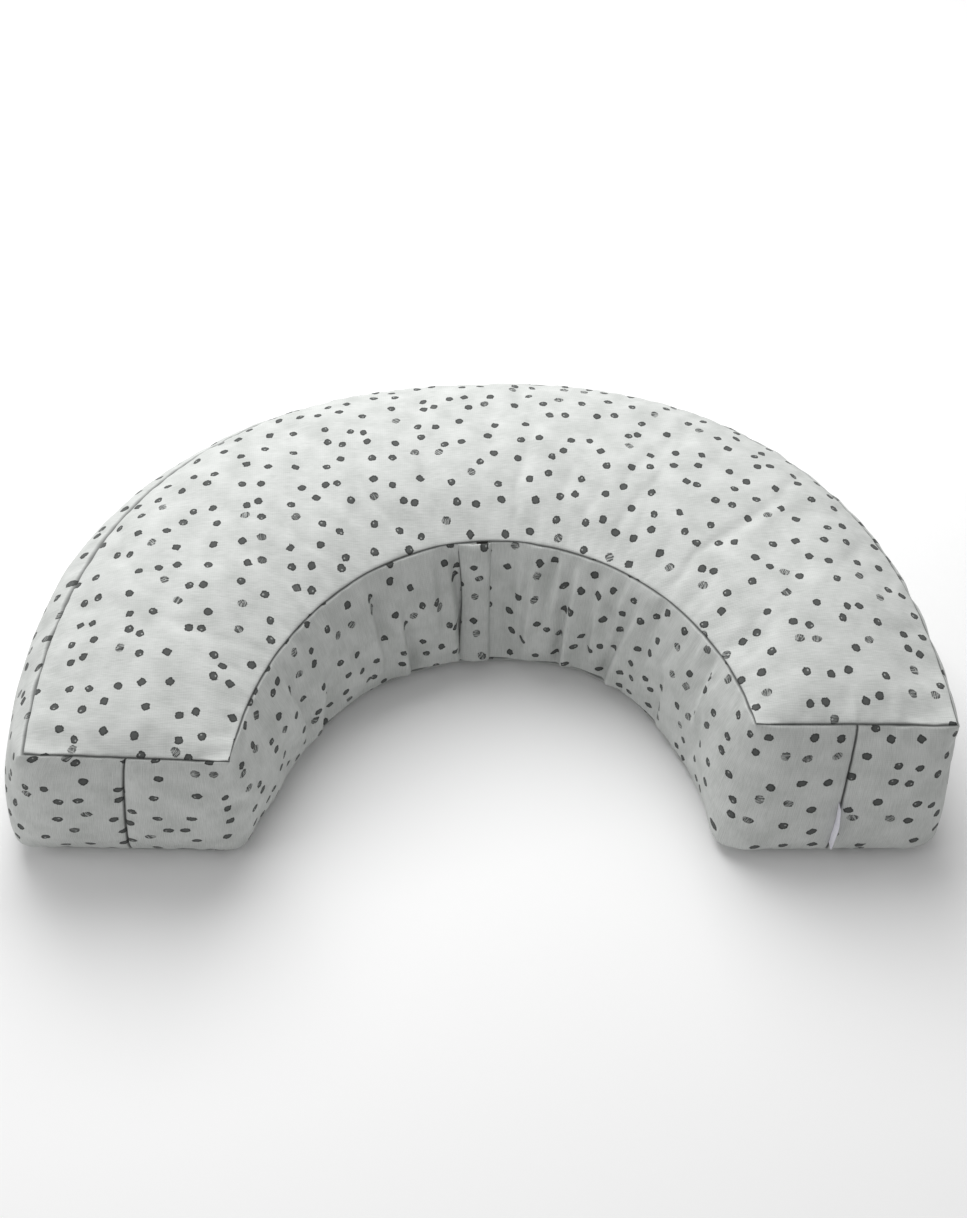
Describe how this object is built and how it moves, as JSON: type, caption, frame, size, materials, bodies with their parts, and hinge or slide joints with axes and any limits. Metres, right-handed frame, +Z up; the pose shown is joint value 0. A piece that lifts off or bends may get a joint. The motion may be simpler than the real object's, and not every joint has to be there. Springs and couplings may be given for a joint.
{
  "type": "nursing pillow",
  "caption": "Half-moon boxed nursing pillow: a C-shaped padded cushion with a curved inner wall for the waist, a flap-covered zip in that wall and a separate filled casing.",
  "frame": {"origin": "middle of the box's footprint, on the surface that the pillow lies on", "axes": "+X along the width, to the right leg as seen from the open side; +Y to the closed back of the C; +Z up, through the thickness"},
  "size_m": [0.7918, 0.4749, 0.174],
  "materials": {
    "cover_jersey": "matt cotton jersey",
    "lining_cotton": "matt plain weave",
    "zip_tape": "matt woven tape",
    "zip_nylon": "satin moulded nylon",
    "zip_metal": "satin zinc",
    "label_satin": "satin ribbon",
    "polyester_fibre": "loose fibre"
  },
  "bodies": {
    "cushion": {"top_panel": "cover_jersey", "bottom_panel": "cover_jersey", "outer_boxing": "cover_jersey", "inner_boxing_left": "cover_jersey", "inner_boxing_right": "cover_jersey", "zip_guard": "lining_cotton", "zip_tape_left": "zip_tape", "zip_tape_right": "zip_tape", "zip_coil_left": "zip_nylon", "zip_coil_right": "zip_nylon", "zip_lower_stop": "zip_metal", "zip_upper_stop": "zip_metal", "casing_top": "lining_cotton", "casing_bottom": "lining_cotton", "casing_boxing": "lining_cotton", "fibre_filling": "polyester_fibre"},
    "flap": {"placket_flap": "cover_jersey"},
    "slider": {"zip_slider": "zip_metal"},
    "pull": {"zip_pull": "zip_metal"},
    "label": {"care_label": "label_satin"}
  },
  "joints": [
    {"name": "flap_lift", "type": "hinge", "parent": "cushion", "child": "flap", "pos_m": [-0.013, 0.01008, 0.0115], "axis": [0, 0, -1], "range_deg": [0, 75], "stiffness_Nm_per_rad": 0.002},
    {"name": "zip_travel", "type": "slide", "parent": "cushion", "child": "slider", "axis": [0, 0, 1], "range_m": [0, 0.098]},
    {"name": "pull_swing", "type": "hinge", "parent": "slider", "child": "pull", "pos_m": [0, 0.00924, 0.0375], "axis": [-1, 0, 0], "range_deg": [0, 45]},
    {"name": "label_flip", "type": "hinge", "parent": "cushion", "child": "label", "pos_m": [0.29305, -0.21164, 0.016], "axis": [0, 0, 1], "range_deg": [-65, 83], "stiffness_Nm_per_rad": 0.0005}
  ],
  "couplings": [
    {"joint": "pull_swing", "follows": "flap_lift", "ratio": 0.6}
  ]
}
